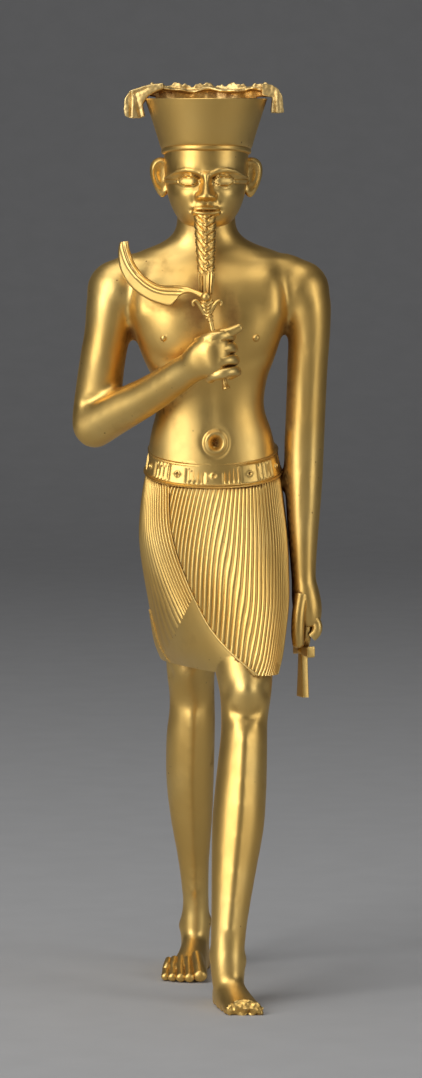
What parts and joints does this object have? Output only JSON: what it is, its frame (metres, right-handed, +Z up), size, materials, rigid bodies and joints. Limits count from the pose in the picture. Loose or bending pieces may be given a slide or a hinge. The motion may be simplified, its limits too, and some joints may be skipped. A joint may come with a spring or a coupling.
{
  "type": "amun statuette",
  "caption": "Small standing god in solid gold, striding, with flat-topped crown, braided beard, pleated kilt, scimitar across the chest and looped cross in the hanging fist.",
  "frame": {"origin": "on the level of the soles, under the middle of the statuette's bounding box", "axes": "+Z up, the figure faces -Y, and its own left hand is at +X"},
  "size_m": [0.0498, 0.0576, 0.1748],
  "materials": {
    "gold": "satin cast gold, orange-brown in the recesses, with fine pits and nicks",
    "pale_gold": "thin torn sheet gold, paler, reddish on its inner face"
  },
  "bodies": {
    "root": {"figure": "gold", "scimitar": "gold", "ankh": "gold", "plume_base": "pale_gold"}
  },
  "joints": []
}
